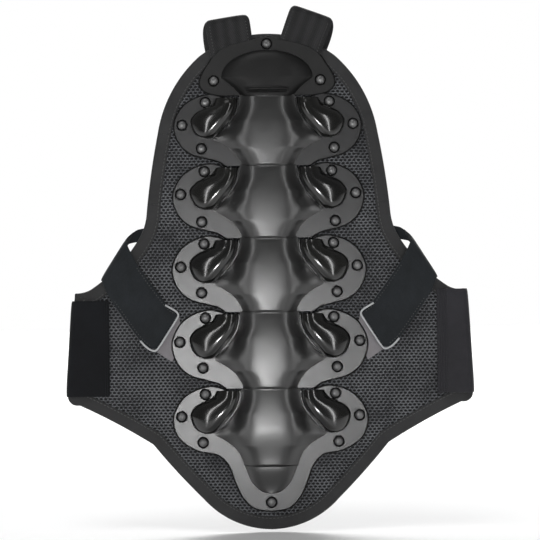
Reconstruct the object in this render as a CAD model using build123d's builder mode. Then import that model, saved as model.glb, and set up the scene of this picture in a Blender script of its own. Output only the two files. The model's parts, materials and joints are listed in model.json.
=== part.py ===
"""Back protector: six hard plates riveted down a padded, mesh-covered back panel.

Frame: +X is to the right of someone facing the plates, +Z runs up the spine and the plates
face -Y.  The origin is the middle of the lining face that rests on the wearer's back.
"depth" below means distance outward from that face, so a depth d lies at y = -d.

The panel is one soft sandwich.  It bends along the five gaps between the plates, so every
layer is cut there into six segments that hinge on each other like the real panel does.
"""

import os
from math import cos, radians, sin, tan

from build123d import *

# ------------------------------------------------------------------ driving dimensions (mm)

HINGES = [203.0, 126.5, 46.8, -34.7, -118.8]  # heights of the bending lines between plates
SEGMENTS = ["cap", "1", "2", "3", "4", "tail"]
PAD_TOP = 274.0

LINING_THICKNESS = 1.5
FOAM_THICKNESS = 8.0
MESH_THICKNESS = 3.0
FOAM_DEPTH = LINING_THICKNESS
MESH_DEPTH = FOAM_DEPTH + FOAM_THICKNESS
MESH_FRONT = MESH_DEPTH + MESH_THICKNESS
HINGE_DEPTH = MESH_DEPTH + MESH_THICKNESS / 2

FLEX_GAP = 0.6  # slot between two segments at the bending line
FLEX_RELIEF = 5.6  # degrees that each side of the inner groove leans back

BINDING_THICKNESS = 1.0
BINDING_WIDTH = 15.0
LAYER_CLEARANCE = 0.1

PLATE_DEPTH = MESH_FRONT + BINDING_THICKNESS + 0.2
FLANGE_THICKNESS = 3.0
FLANGE_FRONT = PLATE_DEPTH + FLANGE_THICKNESS
SHELL = 2.8  # wall of the raised parts of a plate
PLATE_SLIT = 1.0  # half of the gap between two plates at a bending line
SADDLE_RISE = 5.0  # how much higher a saddle ends than it starts, so that plates overlap
TONGUE = 7.0  # how far a saddle reaches under the plate above it
LOBE_HEIGHT = 17.0
LOBE_ROUND = 5.0
TYPICAL_PITCH = 81.5  # distance between bending lines on the plate the outlines are drawn for

RIVET_HEAD_RADIUS = 5.5
RIVET_HEAD_HEIGHT = 3.0
RIVET_SHANK_RADIUS = 2.4
RIVET_HOLE_RADIUS = 2.5
RECESS_RADIUS = 7.0
RECESS_DEPTH = 0.8
WASHER_RADIUS = 3.8
WASHER_THICKNESS = 1.5
BURR_RADIUS = 3.0
BURR_HEIGHT = 0.8

WEBBING_WIDTH = 50.0
WEBBING_THICKNESS = 2.0
STRAP_BACK_Y = 2.6  # middle of the shoulder straps' run down the lining
STRAP_CROSS_Y = 5.4  # middle of the run that leads out to the waist, over the first one

BELT_HEIGHT = 100.0
BELT_THICKNESS = 2.4
BELT_BACK_Y = 8.6
BELT_END_X = 14.0  # how far from the middle each belt half ends behind the panel
BELT_EASE = 0.9  # air between the panel's edge and the belt that turns round it
BELT_WRAP_THICKNESS = 1.6

# Right half of the panel's outline: arcs through three (x, z) points each, in drawing order.
DOME = [
    [(0, 274), (40.5, 267.6), (75, 249.5)], [(75, 249.5), (107, 208.5), (121.6, 164.5)],
    [(121.6, 164.5), (130.6, 112), (134.8, 76.5)], [(134.8, 76.5), (137.6, 62), (143, 49.8)],
]
WAIST = [[(143, 49.8), (165, 20.5), (198, -7.2)], [(198, -7.2), (206, -10), (215, -10.8)]]
WING_EDGE = [(215, -10.8), (223.5, -121)]
HIP = [
    [(223.5, -121), (221.5, -131.5), (211, -134.9)], [(211, -134.9), (170, -155.5), (130, -179)],
    [(130, -179), (103.5, -210), (74.8, -240)], [(74.8, -240), (42, -264.5), (0, -274)],
]

# Right half of a plate between two bending lines: x, and height above its upper line.
FLANGE_EDGE = [
    (48, -1.0), (57, 2.4), (67.4, 3.4), (84, -1.5), (98, -12.5), (106.3, -32),
    (101, -52), (88, -65), (69, -71), (56.6, -74.3), (47.3, -80.5),
]
SADDLE_SIDE = [(31.9, -1.0), (33, -11), (38, -22.6), (48.9, -36.4), (62, -49)]
SADDLE_HIP = [(62, -49), (48.9, -55.7), (38.1, -64.2), (31.9, -73.5), (29, -80.5)]
LOBE_OUTER = [(59, -1.0), (63.5, -7.9), (72, -11.8), (83, -18), (88.2, -28), (83, -42.5), (72, -48.6)]
LOBE_INNER = [(72, -48.6), (60, -46.8), (48.2, -34.6), (38.2, -21.4), (34, -10), (33.4, -1.0)]

# Height of the vault over the flange at the lower end of a plate, from its middle outwards.
SADDLE_HOLLOW = [(27, -4), (29, -20), (42, -40), (51, -48), (42, -54.5), (31, -63), (25, -76)]
LOBE_HOLLOW = [(41, -8), (57, -10), (77, -22), (81, -32), (72, -42), (62, -41), (46, -25)]
TAIL_HOLLOW = [(27, -4), (29, -20), (42, -40), (51, -48), (42, -55), (31, -66), (24, -80)]
VAULT = [(0, 15.0), (16, 13.6), (30, 8.6), (46, 6.4), (64, 5.6)]

TAIL_FLANGE = [
    (48, -1.0), (57, 2.4), (67.4, 3.4), (84, -1.5), (98, -12.5), (106.3, -32),
    (100, -53), (80, -66.6), (58, -71.5), (46, -83.5), (38.3, -103.7), (30.6, -119.2),
    (18.5, -130.8), (0, -134.2),
]
TAIL_HIP = [(62, -49), (48, -57.2), (35.8, -68.2), (28.6, -85.2)]
TAIL_TONGUE = [(28.6, -85.2), (21.3, -102.2), (10.8, -112.2), (0, -115)]
TAIL_STEP = -83.7
TONGUE_HEIGHT = 4.0

CAP_FLANGE = [(48, 205), (62, 207.3), (71.5, 213), (74, 222), (66.5, 237), (48, 257.5), (0, 270.5)]
CAP_DOME = [(28, 204.2), (38, 215), (50.5, 225), (36, 246), (0, 255)]
CAP_HOLLOW = [(14, 249), (28, 243), (40, 225), (31, 213), (25, 205)]
CAP_VAULT_TOP = 5.5

# Scale of each plate against the typical one, across and along the spine.
PLATE_SCALE = {"1": (0.968, 0.939), "2": (0.987, 0.978), "3": (1.002, 0.998), "4": (1.01, 1.032)}
TAIL_SCALE = (1.005, 1.0)

# Rivets, as (x, z); the ones off the middle repeat on the left.
RIVETS = {
    "cap": [(0, 262), (58.8, 221.7)],
    "1": [(68.3, 198), (94.2, 173.2), (73.2, 147.2)],
    "2": [(70.2, 121.8), (96.5, 96.9), (73.6, 66.4)],
    "3": [(71.3, 42.2), (97.2, 16.9), (74.6, -11.6)],
    "4": [(70.8, -39.5), (99.1, -65.8), (74, -94.4)],
    "tail": [(71.6, -123.6), (97.9, -148), (74.7, -176.6), (0, -243.2)],
}

# Shoulder straps: middle of the fold above the panel, lean from upright and middle of the
# run behind the lining at each bending line.
SHOULDER = {
    "left": {"fold": (-46, 291), "lean": 9.0, "run": [(-39, 203.0), (-28, 126.5), (-28, 46.8)]},
    "right": {"fold": (50, 297), "lean": -22.0, "run": [(31, 203.0), (28, 126.5), (28, 46.8)]},
}

# Waist straps on the left side of the panel; the right side mirrors them.
FOLD_TOP = (-157, 50)
FOLD_BOTTOM = (-184, 7)
TAB_TOP = (-152, 29)
TAB_TOP_END = (-99.7, -34.2)
TAB_BOTTOM_END = (-126.1, -74.5)
TAB_BOTTOM = (-170.5, -26)
PATCH = [(-99, -37), (-124.5, -76.5), (-108.5, -87.5), (-105, -66)]
PATCH_THICKNESS = 0.8
TRIM_WIDTH = 2.2
TRIM_HEIGHT = 0.7

os.makedirs("parts", exist_ok=True)


def save(piece, name):
    """Label a finished piece and write it."""
    piece.label = name
    export_step(piece, f"parts/{name}.step")


def front(depth):
    """Plane parallel to the panel at a depth, looking outward: its x is X and its y is Z."""
    return Plane.XZ.offset(depth)


# ------------------------------------------------------------------ cutting the layers


def groove_edge(height, side):
    """The three corners of a segment's end at a bending line; side is +1 above the line."""
    slot = side * FLEX_GAP / 2
    back_y = 30.0
    lean = side * (HINGE_DEPTH + back_y) * tan(radians(FLEX_RELIEF))
    return [(-60.0, height + slot), (-HINGE_DEPTH, height + slot), (back_y, height + slot + lean)]


def segment_block(index):
    """Block that keeps one segment of a layer: the space between its two bending lines."""
    above = [(-60.0, 340.0), (0.0, 340.0), (30.0, 340.0)]
    below = [(-60.0, -320.0), (0.0, -320.0), (30.0, -320.0)]
    upper = groove_edge(HINGES[index - 1], -1) if index > 0 else above
    lower = groove_edge(HINGES[index], 1) if index < len(HINGES) else below
    with BuildPart() as block:
        with BuildSketch(Plane.YZ):
            with BuildLine():
                Polyline(*upper, *reversed(lower), close=True)
            make_face()
        extrude(amount=260, both=True)
    return block.part


def pad_outline(inset):
    """The panel's outline as a face, pulled in by inset."""
    with BuildSketch() as outline:
        with BuildLine():
            for arc in DOME + WAIST:
                ThreePointArc(*arc)
            Line(*WING_EDGE)
            for arc in HIP:
                ThreePointArc(*arc)
            Line(HIP[-1][-1], DOME[0][0])
        make_face()
        mirror(about=Plane.YZ)
        if inset:
            offset(amount=-inset)
    return outline.sketch


BLOCKS = [segment_block(index) for index in range(len(SEGMENTS))]
PAD = pad_outline(0)
PAD_INNER = pad_outline(BINDING_THICKNESS + LAYER_CLEARANCE)
PAD_VISIBLE = pad_outline(BINDING_WIDTH)


def rivet_places(segment):
    """Where a segment's rivets stand, on both sides."""
    places = []
    for x, z in RIVETS[segment]:
        places.append((x, 0, z))
        if x:
            places.append((-x, 0, z))
    return places


# ------------------------------------------------------------------ fasteners

with BuildPart() as rivet:
    head_depth = FLANGE_FRONT - RECESS_DEPTH
    washer_depth = MESH_DEPTH - WASHER_THICKNESS
    with BuildSketch(Plane.XY):
        with BuildLine():
            crown = (0, -head_depth - RIVET_HEAD_HEIGHT)
            shoulder = (RIVET_HEAD_RADIUS * 0.72, -head_depth - RIVET_HEAD_HEIGHT * 0.72)
            ThreePointArc(crown, shoulder, (RIVET_HEAD_RADIUS, -head_depth))
            Polyline(
                (RIVET_HEAD_RADIUS, -head_depth),
                (RIVET_SHANK_RADIUS, -head_depth),
                (RIVET_SHANK_RADIUS, -washer_depth),
                (BURR_RADIUS, -washer_depth),
                (BURR_RADIUS, -washer_depth + BURR_HEIGHT),
                (0, -washer_depth + BURR_HEIGHT),
                crown,
            )
        make_face()
    revolve(axis=Axis.Y)

with BuildPart() as washer:
    with BuildSketch(front(washer_depth)):
        Circle(WASHER_RADIUS)
        Circle(RIVET_HOLE_RADIUS, mode=Mode.SUBTRACT)
    extrude(amount=WASHER_THICKNESS)

for segment in SEGMENTS:
    with BuildPart() as rivets:
        with Locations(*rivet_places(segment)):
            add(rivet.part)
    save(rivets.part, f"rivets_{segment}")

    with BuildPart() as washers:
        with Locations(*rivet_places(segment)):
            add(washer.part)
    save(washers.part, f"washers_{segment}")


# ------------------------------------------------------------------ panel layers


def rivet_drill(segment, depth, radius, length):
    """Cut a round hole at every rivet of a segment, outward from a depth."""
    with BuildSketch(front(depth)) as holes:
        with Locations(*[(x, z) for x, _, z in rivet_places(segment)]):
            Circle(radius)
    extrude(holes.sketch, amount=length, mode=Mode.SUBTRACT)


for index, segment in enumerate(SEGMENTS):
    with BuildPart() as lining:
        with BuildSketch(front(0)):
            add(PAD_INNER)
        extrude(amount=LINING_THICKNESS)
        add(BLOCKS[index], mode=Mode.INTERSECT)
    save(lining.part, f"lining_{segment}")

    with BuildPart() as foam:
        with BuildSketch(front(FOAM_DEPTH)):
            add(PAD_INNER)
        extrude(amount=FOAM_THICKNESS)
        add(BLOCKS[index], mode=Mode.INTERSECT)
        rivet_drill(segment, washer_depth, WASHER_RADIUS + LAYER_CLEARANCE, WASHER_THICKNESS)
        rivet_drill(segment, washer_depth - BURR_HEIGHT, BURR_RADIUS + LAYER_CLEARANCE, BURR_HEIGHT)
    save(foam.part, f"foam_{segment}")

    with BuildPart() as mesh:
        with BuildSketch(front(MESH_DEPTH)):
            add(PAD_INNER)
        extrude(amount=MESH_THICKNESS)
        add(BLOCKS[index], mode=Mode.INTERSECT)
        rivet_drill(segment, MESH_DEPTH, RIVET_HOLE_RADIUS, MESH_THICKNESS)
    save(mesh.part, f"mesh_{segment}")

    with BuildPart() as binding:
        with BuildSketch(front(-BINDING_THICKNESS)):
            add(PAD)
            add(PAD_VISIBLE, mode=Mode.SUBTRACT)
        extrude(amount=MESH_FRONT + 2 * BINDING_THICKNESS)
        with BuildSketch(front(0)):
            add(PAD_INNER)
        extrude(amount=MESH_FRONT, mode=Mode.SUBTRACT)
        add(BLOCKS[index], mode=Mode.INTERSECT)
        rivet_drill(segment, MESH_FRONT, RIVET_HOLE_RADIUS, BINDING_THICKNESS)
    save(binding.part, f"binding_{segment}")


# ------------------------------------------------------------------ hard plates


def on_plate(points, line, scale):
    """Outline points of the typical plate, scaled and hung from a bending line."""
    return [(x * scale[0], line + z * scale[1]) for x, z in points]


def half_face(edges, top, bottom):
    """Face between the mirror line and a run of splines, mirrored to both sides."""
    last = edges[-1][-1]
    low_middle = (0, bottom) if last[0] else last
    with BuildSketch() as face:
        with BuildLine():
            if edges[0][0][0]:
                Line((0, top), edges[0][0])
            for points in edges:
                Spline(*points)
            if last[0]:
                Line(last, low_middle)
            Line(low_middle, (0, top))
        make_face()
        mirror(about=Plane.YZ)
    return face.sketch


def lobe_face(line, scale):
    """The kidney-shaped lobes beside a saddle, both sides."""
    outer = on_plate(LOBE_OUTER, line, scale)
    inner = on_plate(LOBE_INNER, line, scale)
    with BuildSketch() as face:
        with BuildLine():
            Spline(*outer)
            Spline(*inner)
            Line(inner[-1], outer[0])
        make_face()
        mirror(about=Plane.YZ)
    return face.sketch


def vault(levels, drop):
    """Block under a saddle's vaulted surface.  levels is (height in z, lift of the surface)
    at each end and drop lowers the whole surface, for the hollow inside."""
    with BuildPart() as block:
        for height, lift in levels:
            rim = [(x, -FLANGE_FRONT - rise - lift + drop) for x, rise in VAULT]
            with BuildSketch(Plane.XY.offset(height)):
                with BuildLine():
                    Spline(*rim, tangents=[(1, 0), (1, 0.05)])
                    Polyline(rim[-1], (rim[-1][0], 0), (0, 0), rim[0])
                make_face()
                mirror(about=Plane.YZ)
        loft(ruled=True)
    return block.part


def raised_part(face, vault_block, depth, height):
    """Prism over a face, cut off by a vaulted surface."""
    with BuildPart() as prism:
        with BuildSketch(front(depth)):
            add(face)
        extrude(amount=height)
        add(vault_block, mode=Mode.INTERSECT)
    return prism.part


def lobes(face, depth, height, round_over):
    """The two lobes as rounded bodies."""
    with BuildPart() as body:
        with BuildSketch(front(depth)):
            add(face)
        extrude(amount=height)
        if round_over:
            fillet(body.faces().sort_by(Axis.Y)[0:2].edges(), round_over)
    return body.part


def polygon_face(points, both_sides):
    """Straight-sided face: mirrored as one piece across the middle, or as two apart."""
    closing = [] if both_sides else [(0, points[-1][1]), (0, points[0][1])]
    with BuildSketch() as face:
        with BuildLine():
            Polyline(*points, *closing, close=True)
        make_face()
        mirror(about=Plane.YZ)
    return face.sketch


def strip(half_width, low, high):
    """Upright rectangle in the middle of a plate."""
    with BuildSketch() as band:
        with Locations((0, (low + high) / 2)):
            Rectangle(2 * half_width, high - low)
    return band.sketch


def tongue_part(line, top_lift):
    """The part of a saddle that reaches up under the plate above."""
    reach = vault([(line - 2, top_lift), (line + TONGUE, top_lift)], 0)
    solid = raised_part(strip(24, line - 2, line + TONGUE), reach, FLANGE_FRONT, 20)
    hollow = vault([(line - 2, top_lift), (line + TONGUE, top_lift)], SHELL)
    return solid, hollow


def save_plate(name, segment, flange, raised, hollows):
    """Join a plate's flange and raised parts, hollow it from behind and drill it."""
    with BuildPart() as plate:
        with BuildSketch(front(PLATE_DEPTH)):
            add(flange)
        extrude(amount=FLANGE_THICKNESS)
        for solid in raised:
            add(solid)
        for solid in hollows:
            add(solid, mode=Mode.SUBTRACT)
        rivet_drill(segment, PLATE_DEPTH, RIVET_HOLE_RADIUS, FLANGE_THICKNESS)
        rivet_drill(segment, FLANGE_FRONT - RECESS_DEPTH, RECESS_RADIUS, RECESS_DEPTH)
    save(plate.part, name)


def save_middle_plate(segment, line):
    """One of the four plates between the cap and the tail."""
    scale = PLATE_SCALE[segment]
    top = line - PLATE_SLIT
    bottom = line - TYPICAL_PITCH * scale[1] + PLATE_SLIT
    flange = half_face([on_plate(FLANGE_EDGE, line, scale)], top, bottom)
    sides = [on_plate(SADDLE_SIDE, line, scale), on_plate(SADDLE_HIP, line, scale)]
    saddle_face = half_face(sides, top, bottom)
    levels = [(bottom - 3, 0), (line, -SADDLE_RISE)]
    saddle = raised_part(saddle_face, vault(levels, 0), FLANGE_FRONT, 25)
    inner = polygon_face(on_plate(SADDLE_HOLLOW, line, scale), False)
    hollow = raised_part(inner, vault(levels, SHELL), PLATE_DEPTH, 25)
    mouth = raised_part(strip(26, bottom - 3, bottom + 6), vault(levels, SHELL), PLATE_DEPTH, 25)
    tongue, under = tongue_part(line, -SADDLE_RISE)
    throat = raised_part(strip(21, line - 6, line + TONGUE + 1), under, PLATE_DEPTH, 25)
    both_lobes = lobes(lobe_face(line, scale), PLATE_DEPTH + 1, LOBE_HEIGHT + 2, LOBE_ROUND)
    lobe_inner = polygon_face(on_plate(LOBE_HOLLOW, line, scale), True)
    lobe_hollow = lobes(lobe_inner, PLATE_DEPTH, LOBE_HEIGHT - 4, 0)
    save_plate(
        f"plate_{segment}", segment, flange,
        [saddle, tongue, both_lobes], [hollow, mouth, throat, lobe_hollow],
    )


for segment, line in zip(SEGMENTS[1:5], HINGES):
    save_middle_plate(segment, line)


def save_cap():
    """The cap: a flat rim over the panel's rounded top and a shallow dome."""
    bottom = HINGES[0] + PLATE_SLIT
    flange = half_face([CAP_FLANGE], bottom, bottom)
    dome_face = half_face([CAP_DOME[:3], CAP_DOME[2:]], bottom, bottom)
    levels = [(bottom - 3, 0), (PAD_TOP, -CAP_VAULT_TOP)]
    dome = raised_part(dome_face, vault(levels, 0), FLANGE_FRONT, 25)
    inner = polygon_face(CAP_HOLLOW, False)
    hollow = raised_part(inner, vault(levels, SHELL), PLATE_DEPTH, 25)
    mouth = raised_part(strip(26, bottom - 3, bottom + 8), vault(levels, SHELL), PLATE_DEPTH, 25)
    save_plate("plate_cap", "cap", flange, [dome], [hollow, mouth])


def save_tail():
    """The tail plate: the last saddle runs out into a stepped tongue inside a U of flange."""
    line = HINGES[-1]
    top = line - PLATE_SLIT
    step = line + TAIL_STEP
    end = line + TAIL_TONGUE[-1][1]
    flange = half_face([on_plate(TAIL_FLANGE, line, TAIL_SCALE)], top, line + TAIL_FLANGE[-1][1])
    sides = [on_plate(points, line, TAIL_SCALE) for points in (SADDLE_SIDE, TAIL_HIP)]
    saddle_face = half_face(sides, top, sides[-1][-1][1])
    tongue_face = half_face([on_plate(TAIL_TONGUE, line, TAIL_SCALE)], step, end)
    levels = [(step - 3, 0), (line, -SADDLE_RISE)]
    saddle = raised_part(saddle_face, vault(levels, 0), FLANGE_FRONT, 25)
    inner = polygon_face(on_plate(TAIL_HOLLOW, line, TAIL_SCALE), False)
    hollow = raised_part(inner, vault(levels, SHELL), PLATE_DEPTH, 25)
    tongue, under = tongue_part(line, -SADDLE_RISE)
    throat = raised_part(strip(21, line - 6, line + TONGUE + 1), under, PLATE_DEPTH, 25)
    with BuildPart() as tip:
        with BuildSketch(front(FLANGE_FRONT)):
            add(tongue_face)
        extrude(amount=TONGUE_HEIGHT)
    face = lobe_face(line, TAIL_SCALE)
    both_lobes = lobes(face, PLATE_DEPTH + 1, LOBE_HEIGHT + 2, LOBE_ROUND)
    lobe_inner = polygon_face(on_plate(LOBE_HOLLOW, line, TAIL_SCALE), True)
    lobe_hollow = lobes(lobe_inner, PLATE_DEPTH, LOBE_HEIGHT - 4, 0)
    save_plate(
        "plate_tail", "tail", flange,
        [saddle, tongue, both_lobes, tip.part], [hollow, throat, lobe_hollow],
    )


save_cap()
save_tail()

# ------------------------------------------------------------------ shoulder straps


def ribbon(plane, points, thickness):
    """Flat webbing: the face through some points, as thick as the webbing, centred on it."""
    with BuildPart() as piece:
        with BuildSketch(plane):
            with BuildLine():
                Polyline(*points, close=True)
            make_face()
        extrude(amount=thickness / 2, both=True)
    return piece.part


def strap_run(side, upper, lower, middle_upper, middle_lower):
    """A strap's run down the lining between two heights."""
    half = WEBBING_WIDTH / 2
    sign = -1 if side == "left" else 1
    corners = [
        (sign * abs(middle_upper) - half, upper), (sign * abs(middle_upper) + half, upper),
        (sign * abs(middle_lower) + half, lower), (sign * abs(middle_lower) - half, lower),
    ]
    return ribbon(front(-STRAP_BACK_Y), corners, WEBBING_THICKNESS)


for side, strap in SHOULDER.items():
    lean = radians(strap["lean"])
    fold_x, fold_z = strap["fold"]
    across = Vector(cos(lean), 0, sin(lean))
    upright = Plane(origin=(fold_x, 0, fold_z), x_dir=(0, 1, 0), z_dir=across)
    front_y = -(PLATE_DEPTH + WEBBING_THICKNESS / 2)
    with BuildPart() as shoulder_strap:
        with BuildSketch(upright):
            with BuildLine() as hairpin:
                FilletPolyline(
                    (front_y, -62), (front_y, -22), (-8.5, -1), (-3.0, -1),
                    (STRAP_BACK_Y, -22), (STRAP_BACK_Y, -64), radius=2.2,
                )
            trace(hairpin.line, line_width=WEBBING_THICKNESS)
        extrude(amount=WEBBING_WIDTH / 2, both=True)
        with BuildSketch(front(PLATE_DEPTH - 1)) as rim:
            wider = [(x * 1.01, z + 0.6) for x, z in CAP_FLANGE]
            add(half_face([wider], HINGES[0], HINGES[0]))
        extrude(amount=FLANGE_THICKNESS + 3, mode=Mode.SUBTRACT)
    joined = Vector(fold_x, 0, fold_z) - Vector(-sin(lean), 0, cos(lean)) * 64
    lower_x, lower_z = strap["run"][0]
    half = WEBBING_WIDTH / 2
    slant = half * sin(lean)
    corners = [
        (joined.X - half * cos(lean), joined.Z - slant), (joined.X + half * cos(lean), joined.Z + slant),
        (lower_x + half, lower_z - 6), (lower_x - half, lower_z - 6),
    ]
    tail_end = ribbon(front(-STRAP_BACK_Y), corners, WEBBING_THICKNESS)
    with BuildPart() as whole:
        add(shoulder_strap.part)
        add(tail_end)
        add(BLOCKS[0], mode=Mode.INTERSECT)
    save(whole.part, f"shoulder_strap_{side}")

for index in (1, 2):
    with BuildPart() as runs:
        for side, strap in SHOULDER.items():
            (x_upper, z_upper), (x_lower, z_lower) = strap["run"][index - 1:index + 1]
            add(strap_run(side, z_upper, z_lower, x_upper, x_lower))
        add(BLOCKS[index], mode=Mode.INTERSECT)
    save(runs.part, f"strap_runs_{index}")

# ------------------------------------------------------------------ waist straps


def mirrored(points, side):
    """Points of the left waist strap, or their mirror images for the right one."""
    return points if side == "left" else [(-x, z) for x, z in points]


def between(start, end, share):
    """Point a share of the way from start to end."""
    return (start[0] + (end[0] - start[0]) * share, start[1] + (end[1] - start[1]) * share)


TAB_DEPTH = PLATE_DEPTH + PATCH_THICKNESS + 0.4 + WEBBING_THICKNESS / 2
FOLD_IN = 0.16  # share of the front layer, from the fold, that the turned edge takes

for side in ("left", "right"):
    run_x = SHOULDER[side]["run"][-1][0]
    inner_x = -abs(run_x) + WEBBING_WIDTH / 2
    top_z = HINGES[2] - 6
    cross_low = top_z - WEBBING_WIDTH
    upright_run = [(inner_x - WEBBING_WIDTH, HINGES[2]), (inner_x, HINGES[2]),
                   (inner_x, top_z), (inner_x - WEBBING_WIDTH, cross_low)]
    outward_run = [(inner_x, top_z), (-150, 58), FOLD_TOP, FOLD_BOTTOM, (-150, 4),
                   (inner_x - WEBBING_WIDTH, cross_low)]
    fold_top_in = between(FOLD_TOP, TAB_TOP, FOLD_IN)
    fold_bottom_in = between(FOLD_BOTTOM, TAB_BOTTOM, FOLD_IN)
    turned = [FOLD_TOP, FOLD_BOTTOM, fold_bottom_in, fold_top_in]
    outward_solid = ribbon(front(-STRAP_CROSS_Y), mirrored(outward_run, side), WEBBING_THICKNESS)
    step_y = (STRAP_BACK_Y + STRAP_CROSS_Y) / 2
    mitre = [(inner_x, top_z), (inner_x - 3, top_z), (inner_x - WEBBING_WIDTH, cross_low + 3),
             (inner_x - WEBBING_WIDTH, cross_low)]
    mitre_solid = ribbon(front(-step_y), mirrored(mitre, side), STRAP_CROSS_Y - STRAP_BACK_Y)
    with BuildPart() as waist_strap:
        with BuildSketch(front(-STRAP_BACK_Y)):
            with BuildLine():
                Polyline(*mirrored(upright_run, side), close=True)
            make_face()
        extrude(amount=WEBBING_THICKNESS / 2, both=True)
        add(BLOCKS[3], mode=Mode.INTERSECT)
        add(outward_solid)
        add(mitre_solid)
        with BuildSketch(front(-STRAP_CROSS_Y - WEBBING_THICKNESS / 2)):
            with BuildLine():
                Polyline(*mirrored(turned, side), close=True)
            make_face()
        extrude(amount=STRAP_CROSS_Y + TAB_DEPTH + WEBBING_THICKNESS)
        with BuildSketch(front(-BINDING_THICKNESS - LAYER_CLEARANCE)):
            add(PAD)
        extrude(amount=MESH_FRONT + 2 * (BINDING_THICKNESS + LAYER_CLEARANCE), mode=Mode.SUBTRACT)
    save(waist_strap.part, f"waist_strap_{side}")

    gap = 0.02
    tab_face = [
        between(fold_top_in, TAB_TOP, gap), TAB_TOP, TAB_TOP_END, TAB_BOTTOM_END,
        TAB_BOTTOM, between(fold_bottom_in, TAB_BOTTOM, gap),
    ]
    tab = ribbon(front(TAB_DEPTH), mirrored(tab_face, side), WEBBING_THICKNESS)
    save(tab, f"strap_tab_{side}")

    trim_line = [
        between(TAB_TOP_END, TAB_TOP, 0.2), between(TAB_TOP_END, TAB_TOP, 0.06),
        between(TAB_TOP_END, TAB_BOTTOM_END, 0.06), between(TAB_BOTTOM_END, TAB_TOP_END, 0.06),
        between(TAB_BOTTOM_END, TAB_BOTTOM, 0.06), between(TAB_BOTTOM_END, TAB_BOTTOM, 0.22),
    ]
    with BuildPart() as trim:
        with BuildSketch(front(TAB_DEPTH + WEBBING_THICKNESS / 2)):
            with BuildLine() as trim_path:
                Polyline(*mirrored(trim_line, side))
            trace(trim_path.line, line_width=TRIM_WIDTH)
        extrude(amount=TRIM_HEIGHT)
    save(trim.part, f"strap_trim_{side}")

    with BuildPart() as patch:
        with BuildSketch(front(MESH_FRONT)):
            with BuildLine():
                Polyline(*mirrored(PATCH, side), close=True)
            make_face()
        extrude(amount=PATCH_THICKNESS)
    save(patch.part, f"loop_patch_{side}")

# ------------------------------------------------------------------ waist belt

BELT_LOW = {"left": -125.0, "right": -124.0}
BELT_TOP = {"left": -19.0, "right": -9.5}
BELT_BACK_TOP = -19.0  # upper edge of both belt halves behind the panel
ANCHOR_INNER = {"left": -177.0, "right": 184.0}

for side, sign in (("left", -1), ("right", 1)):
    low = BELT_LOW[side]
    high = BELT_TOP[side]
    anchor_x = abs(ANCHOR_INNER[side])
    (tip_x, tip_z), (foot_x, foot_z) = WING_EDGE
    slant = (foot_x - tip_x) / (tip_z - foot_z)
    edge_high = tip_x + (tip_z - high) * slant + BELT_EASE
    edge_low = tip_x + (tip_z - low) * slant + BELT_EASE
    outer_high = edge_high + BELT_WRAP_THICKNESS
    outer_low = edge_low + BELT_WRAP_THICKNESS
    front_face = [(anchor_x, high), (edge_high, high), (edge_low, low), (anchor_x, low)]
    wrap_face = [(edge_high, high), (outer_high, high), (outer_low, low), (edge_low, low)]
    with BuildPart() as anchor:
        with BuildSketch(front(PLATE_DEPTH)):
            with BuildLine():
                Polyline(*[(sign * x, z) for x, z in front_face], close=True)
            make_face()
        extrude(amount=BELT_THICKNESS)
        with BuildSketch(front(-BELT_BACK_Y + BELT_WRAP_THICKNESS)):
            with BuildLine():
                Polyline(*[(sign * x, z) for x, z in wrap_face], close=True)
            make_face()
        extrude(amount=PLATE_DEPTH + BELT_THICKNESS + BELT_BACK_Y - BELT_WRAP_THICKNESS)
    save(anchor.part, f"belt_anchor_{side}")

    outer_back = tip_x + (tip_z - BELT_BACK_TOP) * slant + BELT_EASE + BELT_WRAP_THICKNESS
    behind = [(BELT_END_X, BELT_BACK_TOP - 1), (outer_back, BELT_BACK_TOP), (outer_low, low),
              (BELT_END_X, low + 1)]
    with BuildPart() as belt:
        with BuildSketch(front(-BELT_BACK_Y)):
            with BuildLine():
                Polyline(*[(sign * x, z) for x, z in behind], close=True)
            make_face()
        extrude(amount=BELT_THICKNESS / 2, both=True)
    save(belt.part, f"waist_belt_{side}")

with BuildPart() as hook:
    middle_z = (BELT_LOW["left"] + BELT_TOP["left"]) / 2
    with BuildSketch(front(-BELT_BACK_Y - BELT_THICKNESS / 2)):
        with Locations((-BELT_END_X - 34, middle_z)):
            RectangleRounded(56, BELT_HEIGHT - 10, 5)
    extrude(amount=-1.2)
save(hook.part, "belt_hook_pad")
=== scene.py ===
"""Looks of the back protector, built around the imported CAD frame.

Lengths in the tables are millimetres in the CAD's own frame: +X right, +Z up the spine,
plates facing -Y.  A "depth" is the distance outward from the lining, so y = -depth.
"""

import json
import math

import bmesh
import bpy
import numpy as np
from mathutils import Matrix, Vector


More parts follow.
